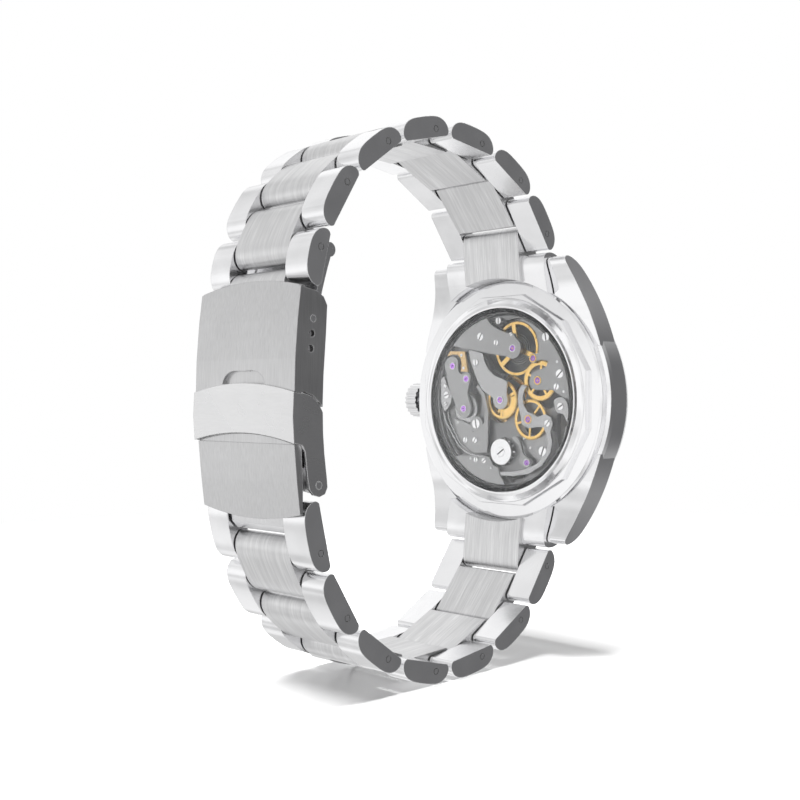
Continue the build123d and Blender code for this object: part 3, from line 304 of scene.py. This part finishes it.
def jewel(name):
    """Synthetic ruby with a faint painted glow."""
    made = Recipe(name, (0.48, 0.17, 0.70), 0.0, 0.08)
    made.shader.inputs["Coat Weight"].default_value = 0.6
    # painted glow: a faint purple emission, though a ruby gives no light of its own
    made.shader.inputs["Emission Strength"].default_value = 0.04
    made.shader.inputs["Emission Color"].default_value = (0.6, 0.3, 0.9, 1)
    depth = made.noise(2600.0, detail=2.0)
    made.color(made.mix_color(made.ramp(depth, 0.3, 0.7, 0, 1), (0.26, 0.07, 0.46), (0.48, 0.17, 0.70)))
    return made.material


def dull(name, color, roughness):
    """A dark matt surface with fine pores."""
    made = Recipe(name, color, 0.0, roughness)
    pores = made.noise(5200.0, detail=4.0)
    made.color(made.mix_color(pores, tuple(c * 0.7 for c in color), color))
    made.bump(pores, 0.004)
    return made.material


STEEL = (0.90, 0.90, 0.91)
link_steel = link_metal()
cover_steel = brushed("cover_steel", (0.66, 0.66, 0.665), 0.34, GRAIN_HEIGHT, contrast=0.16)
band_steel = brushed("band_steel", (0.76, 0.76, 0.765), 0.27, (700, 700, 9000), depth=0.0008, contrast=0.05)
blade_steel = brushed("blade_steel", (0.84, 0.84, 0.85), 0.22, GRAIN_HEIGHT, depth=0.0008)
case_steel = polished("case_steel", STEEL, 0.07)
bezel_steel = brushed("bezel_steel", (0.82, 0.82, 0.83), 0.25, (900, 7000, 900), depth=0.0006)
plate_metal = plated("plate_metal", (0.30, 0.30, 0.303), 0.42)
dial_metal = plated("dial_metal", (0.045, 0.047, 0.052), 0.30, contrast=0.25)
bridge_metal = plated("bridge_metal", (0.38, 0.38, 0.383), 0.34)
lever_metal = brushed("lever_metal", (0.48, 0.48, 0.485), 0.22, (5200, 5200, 800), depth=0.0006)
screw_metal = polished("screw_metal", (0.93, 0.93, 0.94), 0.08)
gilt = plated("gilt", (1.0, 0.66, 0.22), 0.20, grain_mm=0.0008, scale=9000, contrast=0.08)
gilt_dark = plated("gilt_dark", (0.80, 0.55, 0.26), 0.28, grain_mm=0.001, contrast=0.15)
barrel_metal = plated("barrel_metal", (0.46, 0.44, 0.40), 0.35)
sapphire = crystal("sapphire")
ruby = jewel("ruby")
ruby_dark = jewel("ruby_dark")
rubber = dull("rubber", (0.03, 0.03, 0.032), 0.7)
# painted shade: a near-black matt colour for strips in the recessed screw slots, whose floors are the screws'
# own steel
slot_painted_shade = dull("slot_painted_shade", (0.025, 0.025, 0.027), 0.6)
pin_dark = dull("pin_dark", (0.10, 0.10, 0.10), 0.5)
hand_metal = brushed("hand_metal", (0.93, 0.93, 0.94), 0.16, (4000, 4000, 700), depth=0.0003)


def finish_node(name, material):
    slots = NODES[name].data.materials
    if len(slots) == 0:
        slots.append(material)
    for index in range(len(slots)):
        slots[index] = material


FINISHES = {
    link_steel: ["end_links"] + [f"{half}_link_{n}" for half in ("upper", "lower") for n in range(1, 8)],
    cover_steel: ["clasp_cover"],
    band_steel: ["safety_catch"],
    blade_steel: ["clasp_outer_blade", "clasp_inner_blade", "clasp_pins", "lug_spring_bars"],
    case_steel: ["mid_case", "caseback", "crown", "crown_tube", "winding_stem"],
    bezel_steel: ["bezel", "movement_ring"],
    plate_metal: ["mainplate", "train_plate"],
    dial_metal: ["openworked_dial"],
    bridge_metal: ["balance_cock", "train_bridge", "ratchet_bridge", "counter_bridge", "lower_bridges"],
    lever_metal: ["chronograph_bridge", "chronograph_levers", "coupling_lever", "escape_wheel", "pallet_fork",
                  "hairspring", "ratchet_wheel"],
    screw_metal: ["movement_screws", "column_wheel"],
    gilt: ["driving_wheel", "coupling_wheel", "chronograph_runner", "balance_wheel", "centre_wheel"],
    gilt_dark: ["hammer_clamp"],
    barrel_metal: ["mainspring_barrel"],
    sapphire: ["front_crystal", "back_crystal"],
    ruby: ["jewels"],
    rubber: ["crystal_gaskets"],
    hand_metal: ["hour_hand", "minute_hand", "chronograph_hand", "small_seconds_hand"],
}
for material, names in FINISHES.items():
    for name in names:
        finish_node(name, material)


# ---- pieces that only the eye needs ----
def lathe(name, profile, at, toward, material, body, segments=56):
    """A turned solid: profile is a closed list of (radius, height) about the axis toward, in millimetres."""
    mesh = bpy.data.meshes.new(name)
    shape = bmesh.new()
    turn = Vector(toward).to_track_quat("Z", "Y").to_matrix().to_4x4()
    place = Matrix.Translation(Vector(at) * MM) @ turn
    rings = []
    for step in range(segments):
        angle = 2 * math.pi * step / segments
        spot = (math.cos(angle), math.sin(angle))
        rings.append([shape.verts.new(place @ Vector((r * spot[0] * MM, r * spot[1] * MM, h * MM)))
                      for r, h in profile])
    count = len(profile)
    for step in range(segments):
        here, there = rings[step], rings[(step + 1) % segments]
        for index in range(count):
            after = (index + 1) % count
            shape.faces.new((here[index], there[index], there[after], here[after]))
    bmesh.ops.recalc_face_normals(shape, faces=shape.faces)
    for face in shape.faces:
        face.smooth = True
    shape.to_mesh(mesh)
    shape.free()
    mesh.materials.append(material)
    piece = bpy.data.objects.new(name, mesh)
    bpy.context.scene.collection.objects.link(piece)
    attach(piece, body)


def collar(inner, outer, height):
    """The profile of a low ring with rounded shoulders."""
    soft = min(height, (outer - inner) / 2) * 0.5
    return ((inner, 0), (outer, 0), (outer, height - soft), (outer - soft, height), (inner + soft, height),
            (inner, height - soft))


# Jewels as (x, z) of the row in millimetres, with the radius of the setting.
GOLD_SETTINGS = {"driving": (-7.39, 2.96), "coupling": (-5.56, -2.97), "escape": (-6.5, 6.35)}
STEEL_SETTINGS = {"runner": (0.0, 0.0), "balance": (-2.5, 8.0), "barrel_top": (10.0, 5.55),
                  "barrel_side": (7.05, 3.4), "ratchet": (7.6, -1.4), "column": (-5.25, -9.6)}
JEWEL_TOP = -0.74
SINK_TOP = -0.70
for label, (x, z) in GOLD_SETTINGS.items():
    lathe(f"gold_chaton_{label}", collar(0.47, 0.68, 0.09), (x, JEWEL_TOP, z), (0, 1, 0), gilt, "case")
for label, (x, z) in STEEL_SETTINGS.items():
    lathe(f"jewel_setting_{label}", collar(0.47, 0.62, 0.06), (x, JEWEL_TOP, z), (0, 1, 0), screw_metal,
          "case")
for label, (x, z) in {**GOLD_SETTINGS, **STEEL_SETTINGS}.items():
    lathe(f"oil_sink_{label}", collar(0.17, 0.26, 0.03), (x, SINK_TOP, z), (0, 1, 0), ruby_dark, "case")

BALANCE = (-2.5, 8.0)
RIM_MIDDLE = 3.98
RIM_TOP = -1.75
RIM_SCREW = ((0.001, -0.05), (0.17, -0.05), (0.17, 0.05), (0.13, 0.08), (0.001, 0.08))
for number in range(12):
    angle = math.radians(30 * number + 8)
    x = BALANCE[0] + RIM_MIDDLE * math.cos(angle)
    z = BALANCE[1] + RIM_MIDDLE * math.sin(angle)
    lathe(f"balance_screw_{number + 1}", RIM_SCREW, (x, RIM_TOP, z), (0, 1, 0), gilt, "balance", segments=20)

# Screw heads as (x, z), head radius, slot angle and the height of the slot's floor, all in millimetres.
SLOTTED = (
    ((4.0, 10.05), 0.62, 120, -0.70), ((0.75, 9.0), 0.45, 100, -0.70), ((-2.25, 10.2), 0.28, 160, -0.70),
    ((5.0, 6.0), 0.52, 85, -0.70), ((-8.95, 9.5), 0.66, 80, -0.70), ((-11.55, 3.9), 0.66, 135, -0.70),
    ((-10.95, 2.0), 0.48, 105, -0.70), ((11.45, 0.8), 0.55, 160, -0.91), ((11.7, 2.3), 0.3, 110, -0.91),
    ((11.7, -0.6), 0.3, 140, -0.91), ((-11.55, -0.95), 0.55, 150, -0.91), ((4.95, -3.8), 0.78, 80, -0.78),
    ((7.2, -6.4), 0.45, 100, -0.78), ((5.2, -6.4), 0.48, 120, -0.78), ((5.0, -9.5), 0.42, 80, -0.81),
    ((3.3, -9.6), 0.42, 140, -0.81), ((-7.85, -7.8), 0.75, 110, -1.50), ((0.9, 12.45), 0.55, 90, -1.65),
    ((-9.25, -3.5), 0.5, 130, -0.69),
)
CAP_SLOT = (((0.0, -8.1), 0.75, 145, -0.87),)


def slots(name, heads, body):
    """Painted shade in the screws' slots: dark strips laid just above the slot floors, as one piece."""
    mesh = bpy.data.meshes.new(name)
    shape = bmesh.new()
    for (x, z), radius, degrees, floor in heads:
        angle = math.radians(degrees)
        place = Matrix.Translation(Vector((x, floor + 0.02, z)) * MM) @ Matrix.Rotation(-angle, 4, "Y")
        size = Matrix.Diagonal((1.92 * radius * MM, 0.04 * MM, 0.25 * radius * MM, 1))
        bmesh.ops.create_cube(shape, size=1.0, matrix=place @ size)
    shape.to_mesh(mesh)
    shape.free()
    mesh.materials.append(slot_painted_shade)
    piece = bpy.data.objects.new(name, mesh)
    bpy.context.scene.collection.objects.link(piece)
    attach(piece, body)


# painted shade: dark strips in the screw slots and in the column wheel's slot
slots("screw_slot_painted_shade", SLOTTED, "case")
slots("column_wheel_slot_painted_shade", CAP_SLOT, "column_wheel")

LINK_HALF = 9.8
for joint in frame["joints"]:
    if "_link_" in joint["name"]:
        y, z = (metres / MM for metres in joint["pos_m"][1:])
        for side, label in ((-1, "left"), (1, "right")):
            lathe(f"pin_end_{joint['child']}_{label}", collar(0.36, 0.46, 0.015),
                  (side * LINK_HALF, y, z), (side, 0, 0), pin_dark, joint["child"], segments=28)


# ---- floor ----
FLOOR_FADE = (0.10, 0.22)
FLOOR_SIZE = 6.0


def studio_floor():
    """A pale floor that turns pure white between FLOOR_FADE distances from the watch, in metres."""
    mesh = bpy.data.meshes.new("floor")
    shape = bmesh.new()
    bmesh.ops.create_grid(shape, x_segments=2, y_segments=2, size=FLOOR_SIZE)
    shape.to_mesh(mesh)
    shape.free()
    floor = bpy.data.objects.new("floor", mesh)
    floor.location.z = FLOOR_Z
    bpy.context.scene.collection.objects.link(floor)
    made = Recipe("floor_white", (0.97, 0.97, 0.97), 0.0, 0.22)
    made.shader.inputs["Specular IOR Level"].default_value = 0.35
    length = made.node("ShaderNodeVectorMath", operation="LENGTH")
    made.links.new(made.coords, length.inputs[0])
    fade = made.ramp(length.outputs["Value"], *FLOOR_FADE, 0, 1)
    white = made.node("ShaderNodeEmission")
    white.inputs["Strength"].default_value = 1.0
    mix = made.node("ShaderNodeMixShader")
    made.links.new(fade, mix.inputs["Fac"])
    made.links.new(made.shader.outputs["BSDF"], mix.inputs[1])
    made.links.new(white.outputs["Emission"], mix.inputs[2])
    made.links.new(mix.outputs["Shader"], made.nodes["Material Output"].inputs["Surface"])
    mesh.materials.append(made.material)
    floor.visible_glossy = False


studio_floor()
